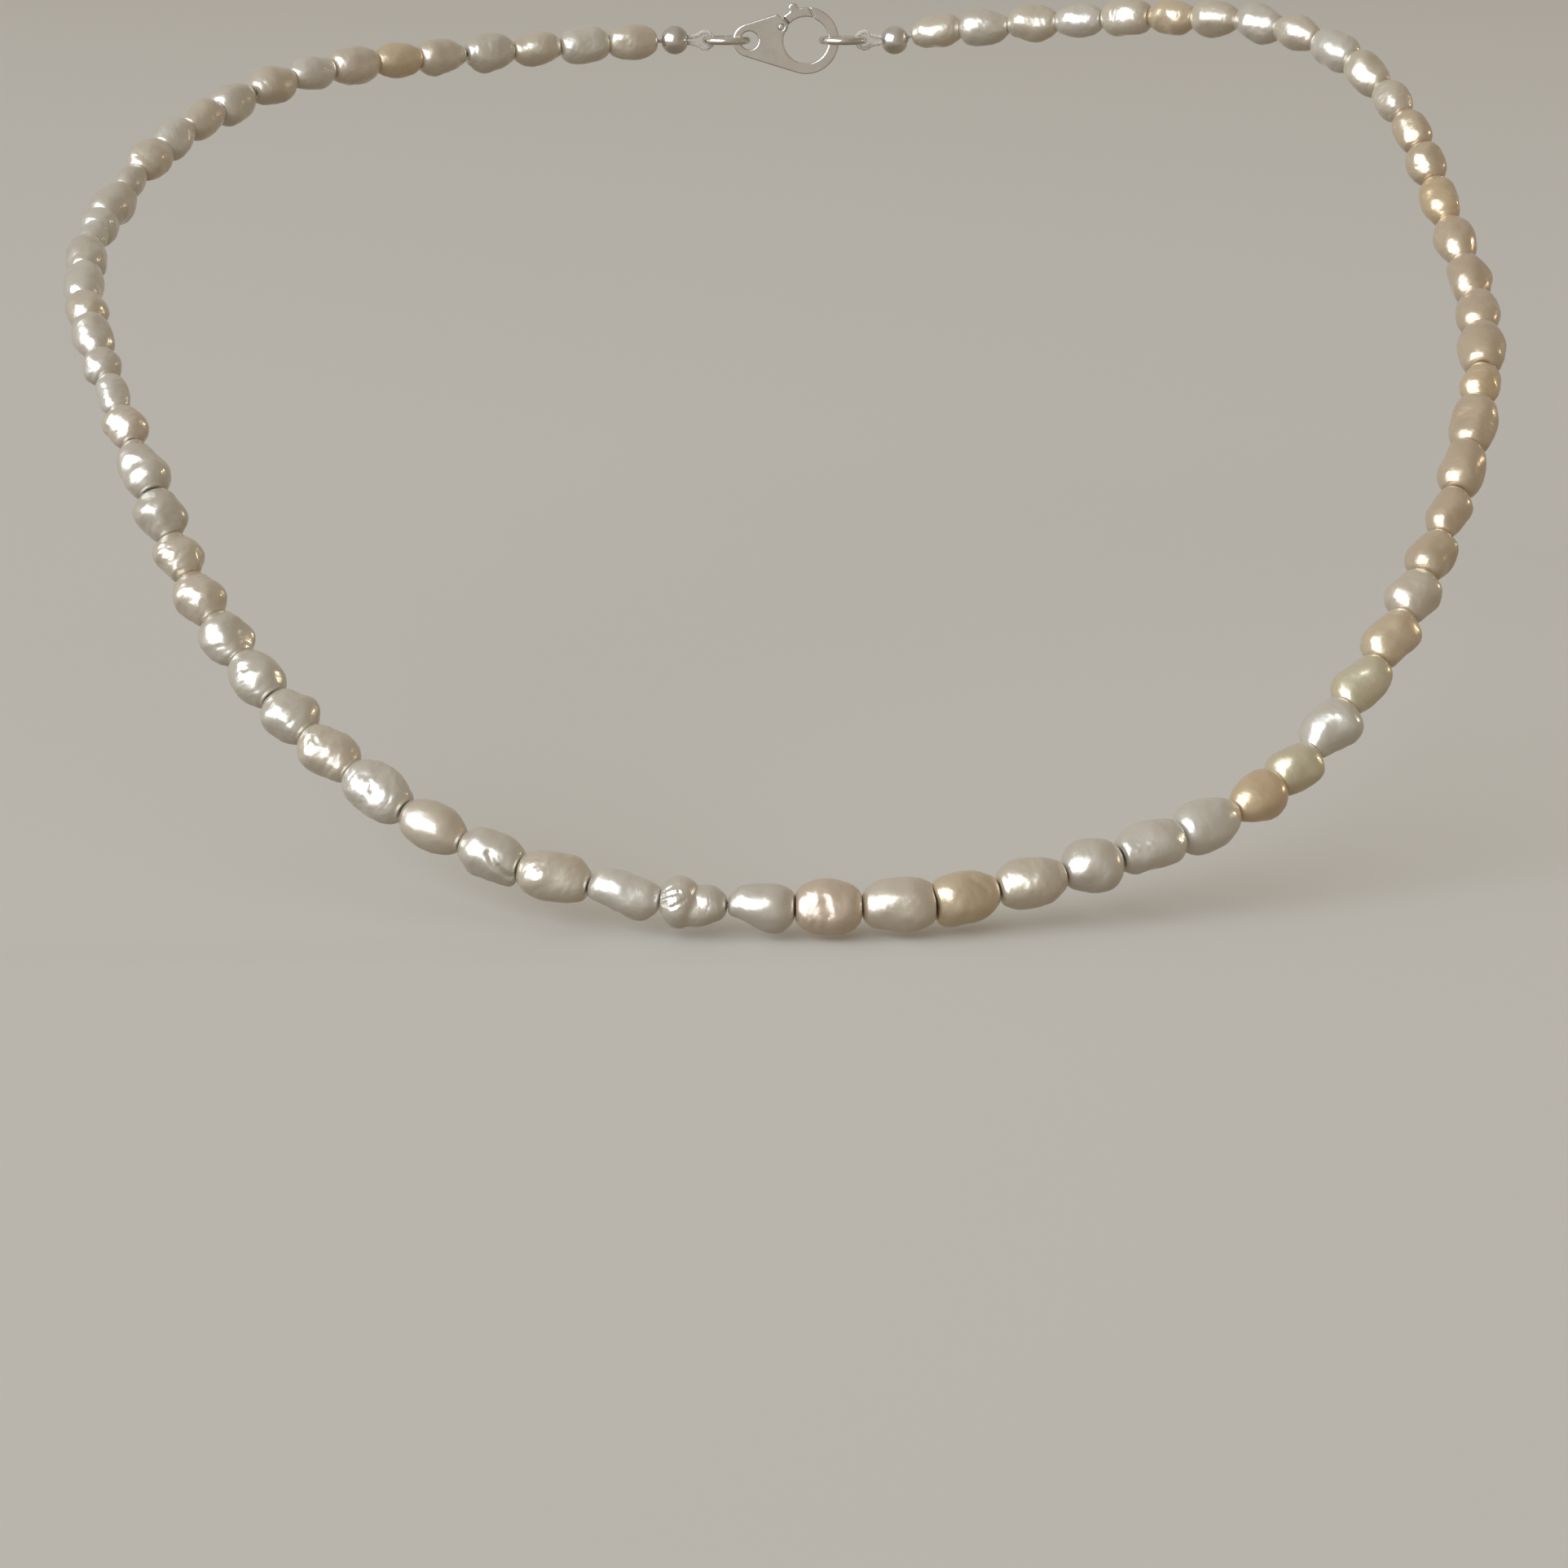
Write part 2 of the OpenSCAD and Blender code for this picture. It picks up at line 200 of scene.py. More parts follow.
def makeNacreGroup():
    s = nacreSettings
    group, given, out = newGroup(
        "nacreSurface",
        [
            ("Body", "NodeSocketColor", (0.8, 0.75, 0.65, 1)),
            ("Depth", "NodeSocketColor", (0.6, 0.52, 0.42, 1)),
            ("Blush", "NodeSocketColor", (0.8, 0.7, 0.66, 1)),
            ("Grain", "NodeSocketFloat", 0.5),
        ],
        [("Color", "NodeSocketColor"), ("Roughness", "NodeSocketFloat"), ("Height", "NodeSocketFloat")],
    )
    link = group.links.new
    place = addNode(group, "ShaderNodeTexCoord")
    mottle = addNode(group, "ShaderNodeTexNoise", Scale=s["mottleScale"], Detail=4.0, Roughness=0.6)
    blush = addNode(group, "ShaderNodeTexNoise", Scale=s["blushScale"], Detail=2.0)
    grain = addNode(group, "ShaderNodeTexNoise", Scale=s["grainScale"], Detail=3.0, Distortion=0.8)
    pits = addNode(group, "ShaderNodeTexVoronoi", Scale=s["pitScale"])
    for texture in (mottle, blush, grain, pits):
        link(place.outputs["Object"], texture.inputs["Vector"])
    patch = addRange(group, mottle.outputs["Fac"], s["deepFrom"], (0, s["deepMost"]))
    tint = addRange(group, blush.outputs["Fac"], s["blushFrom"], (0, s["blushMost"]))
    deep = addBlend(group, patch, given.outputs["Body"], given.outputs["Depth"])
    link(addBlend(group, tint, deep, given.outputs["Blush"]), out.inputs["Color"])
    link(addRange(group, mottle.outputs["Fac"], s["glossFrom"], s["gloss"]), out.inputs["Roughness"])
    pit = addRange(group, pits.outputs["Distance"], (0, s["pitReach"]), (s["pitDepth"], 0))
    both = addNode(group, "ShaderNodeMath", operation="ADD")
    link(grain.outputs["Fac"], both.inputs[0])
    link(pit, both.inputs[1])
    height = addNode(group, "ShaderNodeMath", operation="MULTIPLY")
    link(both.outputs["Value"], height.inputs[0])
    link(given.outputs["Grain"], height.inputs[1])
    link(height.outputs["Value"], out.inputs["Height"])
    return group


nacreGroup = makeNacreGroup()
nacreTones = {
    "cream": {
        "body": (0.85, 0.79, 0.675), "depth": (0.72, 0.635, 0.50),
        "blush": (0.86, 0.77, 0.665), "grain": 0.2},
    "white": {
        "body": (0.88, 0.86, 0.80), "depth": (0.76, 0.715, 0.63),
        "blush": (0.86, 0.83, 0.775), "grain": 0.18},
    "silver": {
        "body": (0.83, 0.80, 0.725), "depth": (0.69, 0.64, 0.545),
        "blush": (0.83, 0.775, 0.705), "grain": 0.15},
    "tan": {
        "body": (0.85, 0.73, 0.53), "depth": (0.72, 0.57, 0.37),
        "blush": (0.85, 0.71, 0.53), "grain": 0.2},
    # painted shade: a warmer, darker cream that stands in for the warm shade on pearls 45 and 50 on the far
    # right
    "golden_painted_shade": {
        "body": (0.85, 0.69, 0.46), "depth": (0.72, 0.53, 0.31),
        "blush": (0.85, 0.68, 0.47), "grain": 0.2},
    "amber": {
        "body": (0.87, 0.70, 0.47), "depth": (0.74, 0.55, 0.34),
        "blush": (0.87, 0.69, 0.48), "grain": 0.2},
    # painted shade: a darker, browner cream that stands in for the shade on the far-right pearls, 41 to 52
    "beige_painted_shade": {
        "body": (0.78, 0.655, 0.49), "depth": (0.64, 0.50, 0.35),
        "blush": (0.79, 0.645, 0.49), "grain": 0.2},
    "green": {
        "body": (0.85, 0.80, 0.60), "depth": (0.71, 0.63, 0.43),
        "blush": (0.81, 0.79, 0.60), "grain": 0.18},
    "rose": {
        "body": (0.86, 0.74, 0.60), "depth": (0.74, 0.59, 0.46),
        "blush": (0.87, 0.70, 0.58), "grain": 0.2},
}


def makeNacre(name, tone):
    s = nacreSettings
    material = bpy.data.materials.new(name)
    material.use_nodes = True
    tree = material.node_tree
    shader = tree.nodes["Principled BSDF"]
    surface = tree.nodes.new("ShaderNodeGroup")
    surface.node_tree = nacreGroup
    for label in ("Body", "Depth", "Blush"):
        surface.inputs[label].default_value = (*tone[label.lower()], 1)
    surface.inputs["Grain"].default_value = tone["grain"]
    bump = addNode(tree, "ShaderNodeBump", Strength=s["bumpStrength"], Distance=s["bumpDistance"] * mm)
    tree.links.new(surface.outputs["Color"], shader.inputs["Base Color"])
    tree.links.new(surface.outputs["Roughness"], shader.inputs["Roughness"])
    tree.links.new(surface.outputs["Height"], bump.inputs["Height"])
    tree.links.new(bump.outputs["Normal"], shader.inputs["Normal"])
    for label, value in nacreShader.items():
        shader.inputs[label].default_value = value
    return material


nacre = {key: makeNacre("nacre" + key.capitalize(), tone) for key, tone in nacreTones.items()}
print("nacre finishes:", ", ".join(nacre))


# pearls: an oval is spun round its hole, then dented, creased and roughened
pearlCut = {
    "around": 88, "along": 60,  # faces
    "hole": 0.38, "gapTaken": 0.22, "endDome": 0.01, "rim": 0.2, "merge": 0.001,  # mm
    "endCut": 0.9,  # share of the half length that is left of an end
}
# forms: bluntness of the ends, taper along the strand
pearlForms = {
    "rice": (2.1, 0.0),
    "slim": (2.1, 0.08),
    "barrel": (2.35, 0.0),
    "ball": (2.0, 0.0),
    "drop": (2.1, 0.24),
    "pear": (2.1, -0.16),
    "twin": (2.1, 0.0),
    "corner": (2.2, 0.0),
}
twinCut = {
    "second": 0.6, "joint": 0.19, "secondWidth": 0.72, "secondCut": 0.96, "shift": 0.02,
    "web": (0.66, -0.34, 0.4, 0.13), "webClock": 62, "grain": 0.06, "smooth": 70,
    "bore": 0.42, "boreSides": 48, "borePast": 1.2, "boreMerge": 0.003,
}
# unevenness that each pearl draws for itself, as shares of its half width and half length
ownNature = {"pushes": 5, "push": (-0.2, 0.14), "place": 0.6, "reach": 1.0, "lean": 0.1}
leanCut = {"ring": 0.25, "ringWidth": 0.03, "reach": 0.34}  # shares of the length
creaseSteps = 14

# one row for each pearl in sight, left to right: width in mm, form, finish, lumps, wrinkles
strandRows = [
    (3.8, "rice", "white", 0.6, 0.5), (3.9, "rice", "cream", 0.6, 0.5), (2.9, "barrel", "silver", 0.5, 0.5),
    (3.9, "rice", "silver", 0.7, 0.6), (3.7, "twin", "white", 0.5, 0.5), (3.7, "rice", "silver", 0.7, 0.6),
    (3.6, "rice", "white", 0.6, 0.6), (3.7, "ball", "cream", 0.6, 0.5), (3.6, "pear", "silver", 0.7, 0.5),
    (3.3, "ball", "silver", 0.7, 0.6), (2.8, "barrel", "white", 0.5, 0.5), (3.6, "ball", "cream", 0.5, 0.6),
    (4.0, "drop", "silver", 0.6, 0.6), (4.1, "ball", "silver", 0.8, 0.5), (4.0, "ball", "cream", 0.8, 0.7),
    (4.1, "ball", "cream", 0.8, 0.6), (4.2, "ball", "silver", 0.8, 0.5), (4.4, "barrel", "silver", 0.6, 0.5),
    (4.2, "rice", "silver", 0.7, 0.5), (4.2, "rice", "cream", 0.7, 0.7), (4.4, "barrel", "white", 0.6, 0.9),
    (4.1, "rice", "cream", 0.4, 0.2), (4.0, "corner", "silver", 0.4, 0.3), (4.2, "barrel", "cream", 0.4, 0.5),
    (3.5, "slim", "white", 0.5, 0.4), (4.3, "twin", "silver", 0.3, 0.4), (3.8, "drop", "silver", 0.4, 0.3),
    (4.4, "barrel", "rose", 0.5, 0.4), (4.4, "barrel", "cream", 0.4, 0.3), (4.3, "corner", "tan", 0.4, 0.4),
    (4.2, "pear", "cream", 0.4, 0.45), (4.6, "ball", "silver", 0.4, 0.5), (4.2, "barrel", "white", 0.6, 0.4),
    (4.5, "pear", "white", 0.3, 0.45), (4.2, "drop", "amber", 0.4, 0.4), (4.0, "ball", "green", 0.5, 0.3),
    (4.2, "drop", "white", 0.6, 0.4), (4.0, "rice", "green", 0.6, 0.3), (4.2, "rice", "tan", 0.6, 0.4),
    # from pearl 41 on, the beige and golden finishes are painted shade on the far right
    (4.1, "rice", "cream", 0.6, 0.4), (3.9, "pear", "beige_painted_shade", 0.7, 0.4), (3.5, "slim", "beige_painted_shade", 0.6, 0.4),
    (4.1, "barrel", "beige_painted_shade", 0.6, 0.4), (4.3, "rice", "beige_painted_shade", 0.6, 0.5), (3.7, "ball", "golden_painted_shade", 0.7, 0.5),
    (4.4, "barrel", "beige_painted_shade", 0.6, 0.5), (4.1, "rice", "beige_painted_shade", 0.6, 0.5), (3.9, "corner", "beige_painted_shade", 0.6, 0.5),
    (3.8, "rice", "beige_painted_shade", 0.6, 0.5), (3.8, "rice", "golden_painted_shade", 0.6, 0.5), (3.7, "ball", "beige_painted_shade", 0.6, 0.5),
    (3.5, "corner", "beige_painted_shade", 0.6, 0.5), (3.6, "rice", "cream", 0.6, 0.5),
]
# a pearl's own bumps and dents: place along the hole from -1 to 1, clock angle, push, reach
# clock 0 faces out of the loop and 90 down at the front, push and reach are shares of the half width
ownBumps = {
    13: [(0.1, 310, -0.09, 0.5)],
    18: [(-0.2, 320, -0.06, 0.4), (0.4, 10, -0.06, 0.8)],
    21: [(-0.35, 310, -0.06, 0.35), (0.15, 330, -0.06, 0.3)],
    23: [(0.75, 75, 0.16, 0.7), (-0.45, 90, 0.14, 0.8), (0.05, 30, -0.06, 0.8)],
    24: [(-0.3, 280, 0.07, 0.9), (0.4, 90, 0.06, 0.9)],
    25: [(-0.6, 270, 0.16, 0.9), (-0.6, 90, -0.14, 0.9), (0.5, 90, 0.14, 0.9)],
    27: [(0.45, 90, 0.14, 0.9), (-0.6, 270, 0.1, 0.8), (-0.6, 90, -0.12, 0.8)],
    29: [(0.75, 300, -0.1, 0.7)],
    30: [(-0.6, 80, 0.16, 0.8), (-0.8, 0, -0.08, 0.8)],
    33: [(0.3, 20, -0.07, 0.9), (-0.2, 60, -0.05, 0.8), (0.5, 80, -0.06, 0.7)],
    48: [(0.1, 0, 0.25, 0.8)],
    52: [(0.0, 0, 0.22, 0.6)],
}
# creases: start and end as place and clock angle, depth and reach as shares of the half width
ownCreases = {
    23: [((0.15, 334), (0.9, 30), -0.1, 0.24)],
    26: [((-0.8, 318), (-0.5, 304), -0.035, 0.13), ((-0.9, 334), (-0.4, 322), -0.05, 0.14),
         ((-0.8, 354), (-0.6, 342), -0.03, 0.13), ((-0.55, 357), (-0.16, 337), -0.04, 0.14)],
    28: [((-0.2, 310), (-0.02, 15), -0.04, 0.3)],
    30: [((0.0, 290), (0.55, 335), -0.06, 0.24)],
}
# wrinkled patches: place and clock angle of the middle, reach as a share of the half width, amount
ownWrinkles = {
    12: (-0.1, 330, 1.0, 1.2), 15: (-0.2, 330, 1.1, 1.6), 16: (-0.2, 320, 1.0, 1.2),
    18: (-0.2, 320, 0.9, 1.2), 20: (-0.5, 330, 0.9, 2.2), 21: (-0.2, 330, 1.2, 2.2),
    24: (-0.3, 320, 0.9, 1.6), 26: (-0.6, 330, 1.1, 0.3), 28: (-0.3, 20, 0.9, 1.2),
    33: (-0.4, 340, 0.9, 0.9),
}
# ends cut flatter or rounder than the rest, towards the left and the right end
ownCuts = {
    22: (0.93, 0.93), 23: (0.92, 0.85), 24: (0.92, 0.93), 29: (0.95, 0.78), 30: (0.78, 0.95),
    31: (0.92, 0.84), 32: (0.95, 0.95), 33: (0.9, 0.82), 34: (0.94, 0.9),
}
# leans of the body on its thread: clock angle that the right half leans to,
# and how far as a share of the half width
ownLeans = {
    12: (20, -0.1), 13: (20, -0.12), 14: (20, -0.08), 15: (20, -0.08), 17: (20, -0.08),
    19: (20, -0.06), 20: (20, -0.1), 24: (10, -0.08), 25: (90, 0.1), 29: (0, 0.08),
    31: (0, 0.12), 32: (0, 0.08), 33: (10, 0.1), 34: (350, 0.04), 36: (0, 0.15),
    37: (0, 0.18), 38: (350, 0.2), 39: (0, 0.16), 40: (10, 0.16), 41: (0, 0.12), 42: (0, 0.12),
}
backTones = ["cream", "white", "cream", "silver", "cream", "tan"]
backForms = ["rice", "barrel", "ball", "rice", "drop"]
backPearl = {"width": 3.8, "vary": 0.06, "turn": 137, "lumps": 0.5, "wrinkles": 0.5}
chartBack = 3  # pearls of the rows at each end that belong to the groups at the back
pearlSeeds = {"single": 100, "backLeft": 300, "backRight": 400}


def turnOval(name, width, low, high, form, cutLow, cutHigh):  # spun from a half outline with its hole
    blunt, taper = form
    hole, steps, dome = pearlCut["hole"] * mm, pearlCut["along"], pearlCut["endDome"] * mm
    rim = pearlCut["rim"] * mm
    full = (high - low - 2 * dome) * 2 / (cutLow + cutHigh)
    outline = []
    for i in range(steps + 1):
        t = (cutHigh - cutLow) / 2 - (cutHigh + cutLow) / 2 * math.cos(math.pi * i / steps)
        r = width / 2 * max(0.0, 1 - abs(t) ** blunt) ** (1 / blunt) * (1 + taper * t)
        z = low + dome + (t + cutLow) * full / 2
        edge = max(0.0, 1 - min(z - low, high - z) / rim)
        r -= rim * (1 - math.sqrt(1 - edge * edge))  # rounds the rim of the drilled end
        if r > hole:
            outline.append((r, 0, z))
    outline = [(hole, 0, low)] + outline + [(hole, 0, high)]
    count = len(outline)
    mesh = bpy.data.meshes.new(name)
    mesh.from_pydata(outline, [(i, (i + 1) % count) for i in range(count)], [])
    obj = bpy.data.objects.new(name, mesh)
    bpy.context.scene.collection.objects.link(obj)
    makeActive(obj)
    bpy.ops.object.mode_set(mode="EDIT")
    bpy.ops.mesh.select_all(action="SELECT")
    bpy.ops.mesh.spin(steps=pearlCut["around"], angle=2 * math.pi, center=(0, 0, 0), axis=(0, 0, 1))
    bpy.ops.mesh.select_all(action="SELECT")
    bpy.ops.mesh.remove_doubles(threshold=pearlCut["merge"] * mm)
    bpy.ops.mesh.normals_make_consistent(inside=False)
    bpy.ops.object.mode_set(mode="OBJECT")
    bpy.ops.object.shade_smooth()
    return obj


def turnTwin(name, width, length, form):  # two lobes grown into one
    s, cut = twinCut, pearlCut["endCut"]
    split = length / 2 - s["second"] * length
    first = turnOval(name, width, -length / 2, split + s["joint"] * length, form, cut, 1)
    second = turnOval(name + "Lobe", width * s["secondWidth"], split, length / 2, form, 1, s["secondCut"])
    applyPlace(second, Matrix.Translation((0, s["shift"] * width, 0)))
    share, low, high, drop = s["web"]  # fills the notch in front and below
    clock = math.radians(s["webClock"])
    web = turnOval(name + "Web", width * share, low * length, high * length, form, 1, 1)
    shift = Vector((math.cos(clock), math.sin(clock), 0)) * (drop * width)
    applyPlace(web, Matrix.Translation(shift))
    makeActive(first)
    second.select_set(True)
    web.select_set(True)
    bpy.ops.object.join()
    growSkin(first, s["grain"], s["smooth"])
    return first


def drillPearl(obj, length):  # a straight bore through the grown lobes
    s = twinCut
    clearSelection()
    bpy.ops.mesh.primitive_cylinder_add(
        vertices=s["boreSides"], radius=s["bore"] * mm, depth=length * s["borePast"])
    drill = bpy.context.object
    bore = obj.modifiers.new("bore", "BOOLEAN")
    bore.operation = "DIFFERENCE"
    bore.solver = "EXACT"
    bore.object = drill
    applyModifiers(obj)
    bpy.data.objects.remove(drill)
    mergeClose(obj, s["boreMerge"])  # no slivers along the cut


def onSkin(width, length, at, clock):
    angle = math.radians(clock)
    radius = width / 2 * math.sqrt(max(0.0, 1 - (pearlCut["endCut"] * at) ** 2))
    return Vector((radius * math.cos(angle), radius * math.sin(angle), at * length / 2))


def pickNear(obj, aims):  # the points of the mesh that lie nearest to the aims
    verts = obj.data.vertices
    chosen = {min(verts, key=lambda v: (v.co - aim).length_squared).index for aim in aims}
    pickVerts(obj, lambda co: False)
    for index in chosen:
        verts[index].select = True


def pushBump(obj, width, length, at, clock, push, reach):
    aim = onSkin(width, length, at, clock)
    pickNear(obj, [aim])
    bpy.ops.object.mode_set(mode="EDIT")
    bpy.ops.transform.translate(
        value=aim.normalized() * (push * width / 2), use_proportional_edit=True,
        proportional_edit_falloff="SMOOTH", proportional_size=reach * width / 2)
    bpy.ops.object.mode_set(mode="OBJECT")


def pressCrease(obj, width, length, start, end, depth, reach):
    turn = (end[1] - start[1] + 180) % 360 - 180  # the short way round
    aims = []
    for i in range(creaseSteps + 1):
        k = i / creaseSteps
        aims.append(onSkin(width, length, start[0] + k * (end[0] - start[0]), start[1] + k * turn))
    pickNear(obj, aims)
    bpy.ops.object.mode_set(mode="EDIT")
    bpy.ops.transform.shrink_fatten(
        value=depth * width / 2, use_proportional_edit=True,
        proportional_edit_falloff="SMOOTH", proportional_size=reach * width / 2)
    bpy.ops.object.mode_set(mode="OBJECT")


# one half leans out and the other in, the ends stay on the thread
def leanPearl(obj, width, length, clock, amount):
    angle = math.radians(clock)
    lean = Vector((math.cos(angle), math.sin(angle), 0)) * (amount * width / 2)
    for side in (-1, 1):
        ring = side * leanCut["ring"] * length
        pickVerts(obj, lambda co: abs(co.z - ring) < leanCut["ringWidth"] * length)
        bpy.ops.object.mode_set(mode="EDIT")
        bpy.ops.transform.translate(
            value=lean * side, use_proportional_edit=True,
            proportional_edit_falloff="SMOOTH", proportional_size=leanCut["reach"] * length)
        bpy.ops.object.mode_set(mode="OBJECT")


def makeTexture(name, kind, **values):
    texture = bpy.data.textures.new(name, kind)
    for key, value in values.items():
        setattr(texture, key, value)
    return texture


skinTextures = {
    "lumps": makeTexture("lumps", "CLOUDS", noise_scale=1.0, noise_depth=0),
    "wrinkles": makeTexture("wrinkles", "CLOUDS", noise_scale=1.0, noise_depth=2, noise_type="HARD_NOISE"),
    "dimples": makeTexture("dimples", "VORONOI", noise_scale=1.0, distance_metric="DISTANCE"),
}
# strength in mm at an amount of 1, and the texture's space in mm: round the pearl twice, then along it
skinSettings = {
    "lumps": (0.46, (1.9, 1.9, 1.9)),
    "wrinkles": (0.13, (1.3, 1.3, 0.6)),
    "dimples": (0.1, (1.2, 1.2, 1.2)),
}
skinFade = 0.72  # the skin is even past this share of the half length, where pearls meet
skinStray = {"move": 0.05, "turn": 0.7}  # how far each pearl's textures are moved in m, and turned


def easeDown(value):  # 1 at 0 and below, 0 at 1 and above
    value = min(1.0, max(0.0, value))
    return 1 - value * value * (3 - 2 * value)


def weighSkin(obj, width, length, patch):  # even at the ends, and wrinkled most in the patch
    skin = obj.vertex_groups.new(name="skin")
    folds = obj.vertex_groups.new(name="folds")
    middle = onSkin(width, length, patch[0], patch[1]) if patch else None
    for v in obj.data.vertices:
        weight = easeDown((abs(v.co.z) / (length / 2) - skinFade) / (1 - skinFade))
        skin.add([v.index], weight, "REPLACE")
        if patch:
            weight *= easeDown((v.co - middle).length / (patch[2] * width / 2))
            folds.add([v.index], weight, "REPLACE")


def skinPearl(obj, layers, dice):
    for key, amount, where in layers:
        strength, size = skinSettings[key]
        aim = bpy.data.objects.new(key + "Aim", None)
        bpy.context.scene.collection.objects.link(aim)
        move, turn = skinStray["move"], skinStray["turn"]
        aim.location = [dice.uniform(-move, move) for _ in range(3)]
        aim.rotation_euler = [dice.uniform(-turn, turn) for _ in range(3)]
        aim.scale = [part * mm for part in size]
        bpy.context.view_layer.update()
        skin = obj.modifiers.new(key, "DISPLACE")
        skin.texture = skinTextures[key]
        skin.texture_coords = "OBJECT"
        skin.texture_coords_object = aim
        skin.vertex_group = where
        skin.mid_level = 0.5
        skin.strength = strength * amount * mm
        makeActive(obj)
        bpy.ops.object.modifier_apply(modifier=key)
        bpy.data.objects.remove(aim)
    obj.vertex_groups.clear()


def makePearl(name, row, marks, length, place, dice):
    width, form, tone, lumps, wrinkles = row
    bumps, creases, patch, cuts, lean = marks
    width *= mm
    if form == "twin":
        obj = turnTwin(name, width, length, pearlForms[form])
    else:
        obj = turnOval(name, width, -length / 2, length / 2, pearlForms[form], *cuts)
    inHole = 1.01 * pearlCut["hole"] * mm
    bore = [(v.index, v.co.copy()) for v in obj.data.vertices if v.co.xy.length < inHole]
    for at, clock, push, reach in bumps:
        pushBump(obj, width, length, at, clock, push, reach)
    for _ in range(ownNature["pushes"]):
        push = dice.uniform(*ownNature["push"]) * lumps
        at, clock = dice.uniform(-ownNature["place"], ownNature["place"]), dice.uniform(0, 360)
        pushBump(obj, width, length, at, clock, push, ownNature["reach"])
    for start, end, depth, reach in creases:
        pressCrease(obj, width, length, start, end, depth, reach)
    leanPearl(obj, width, length, *(lean or (dice.uniform(0, 360), dice.uniform(0, ownNature["lean"]))))
    weighSkin(obj, width, length, patch)
    layers = [("lumps", lumps, "skin"), ("wrinkles", wrinkles, "skin"), ("dimples", lumps, "skin")]
    if patch:
        layers.append(("wrinkles", patch[3], "folds"))
    skinPearl(obj, layers, dice)
    if form == "twin":
        drillPearl(obj, length)
    else:
        for index, co in bore:  # the hole stays straight
            obj.data.vertices[index].co = co
    applyPlace(obj, place)
    obj.data.materials.clear()
    obj.data.materials.append(nacre[tone])
    return obj


def pearlPlace(mid, along):
    away = Vector((mid.x, mid.y, 0))
    out = (away - away.dot(along) * along).normalized()
    side = along.cross(out)
    turn = Matrix((out, side, along)).transposed().to_4x4()
    return Matrix.Translation(mid) @ turn


def spanAlong(points, mid, along):
    reach = [(p - mid).dot(along) for p in points]
    return max(reach) - min(reach)


def loosePearls(node):  # centres and points of the solids in a group, in order round the loop
    spare = copyOf(frame["nodes"][node], node + "Spare")
    spare.parent = None
    mergeClose(spare, 2 * pearlCut["merge"])
    bpy.ops.object.mode_set(mode="EDIT")
    bpy.ops.mesh.separate(type="LOOSE")
    bpy.ops.object.mode_set(mode="OBJECT")
    found = []
    for part in list(bpy.context.selected_objects):
        points = [v.co.copy() for v in part.data.vertices]
        low = Vector([min(p[i] for p in points) for i in range(3)])
        high = Vector([max(p[i] for p in points) for i in range(3)])
        found.append(((low + high) / 2, points))
        bpy.data.objects.remove(part)
    return sorted(found, key=lambda f: math.atan2(f[0].x, -f[0].y))


def boxMiddle(node):
    low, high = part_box(node)
    return (low + high) / 2


spins = sorted((j for j in frame["joints"] if j["name"].startswith("pearl_")), key=lambda j: j["child"])
gapTaken = pearlCut["gapTaken"] * mm
evenCuts = (pearlCut["endCut"], pearlCut["endCut"])
places = []  # middle, direction and length of each pearl on the thread, left to right

for number, joint in enumerate(spins):
    body = joint["child"]
    mid, along = Vector(joint["pos_m"]), Vector(joint["axis"]).normalized()
    points = [v.co for v in frame["nodes"][body].data.vertices]
    length = spanAlong(points, mid, along) + gapTaken
    row = number + chartBack
    marks = (ownBumps.get(row + 1, []), ownCreases.get(row + 1, []), ownWrinkles.get(row + 1),
             ownCuts.get(row + 1, evenCuts), ownLeans.get(row + 1))
    dice = random.Random(pearlSeeds["single"] + number)
    obj = makePearl(body + "_nacre", strandRows[row], marks, length, pearlPlace(mid, along), dice)
    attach(obj, body)
    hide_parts(body)
    places.append((mid, along, length))
print("single pearls:", len(spins))


def backRow(i):
    s = backPearl
    width = s["width"] * (1 + s["vary"] * math.sin(math.radians(s["turn"] * i)))
    form, tone = backForms[i % len(backForms)], backTones[i % len(backTones)]
    return (width, form, tone, s["lumps"], s["wrinkles"])


def makeBackPearls(node, firstRows, lastRows, before, after, seed):
    found = loosePearls(node)
    mids = [before] + [f[0] for f in found] + [after]
    plain = len(found) - len(firstRows) - len(lastRows)
    rows = firstRows + [backRow(i) for i in range(plain)] + lastRows
    made, places = [], []
    marks = ([], [], None, evenCuts, None)
    for i, (mid, points) in enumerate(found):
        along = (mids[i + 2] - mids[i]).normalized()
        length = spanAlong(points, mid, along) + gapTaken
        dice = random.Random(seed + i)
        made.append(makePearl(f"{node}_{i}", rows[i], marks, length, pearlPlace(mid, along), dice))
        places.append((mid, along, length))
    makeActive(made[0])
    for obj in made[1:]:
        obj.select_set(True)
    bpy.ops.object.join()
    obj = bpy.context.object
    obj.name = node + "_nacre"
    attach(obj, "strand")
    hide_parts(node)
    return places


firstMid, lastMid = Vector(spins[0]["pos_m"]), Vector(spins[-1]["pos_m"])
backLeftPlaces = makeBackPearls(
    "back_left_pearls", [], strandRows[:chartBack], boxMiddle("crimp_cover_left"), firstMid,
    pearlSeeds["backLeft"])
backRightPlaces = makeBackPearls(
    "back_right_pearls", strandRows[-chartBack:], [], lastMid, boxMiddle("crimp_cover_right"),
    pearlSeeds["backRight"])
print("pearls at the back:", len(backLeftPlaces) + len(backRightPlaces))


# silver fittings
silverSettings = {
    "bright": (0.88, 0.87, 0.85), "dull": (0.66, 0.65, 0.63), "dullFrom": (0.4, 0.75), "dullMost": 0.8,
    "wearScale": 420, "scratchScale": 2400, "glossFrom": (0.3, 0.7),
    "bumpStrength": 0.25, "bumpDistance": 0.03,  # mm
}


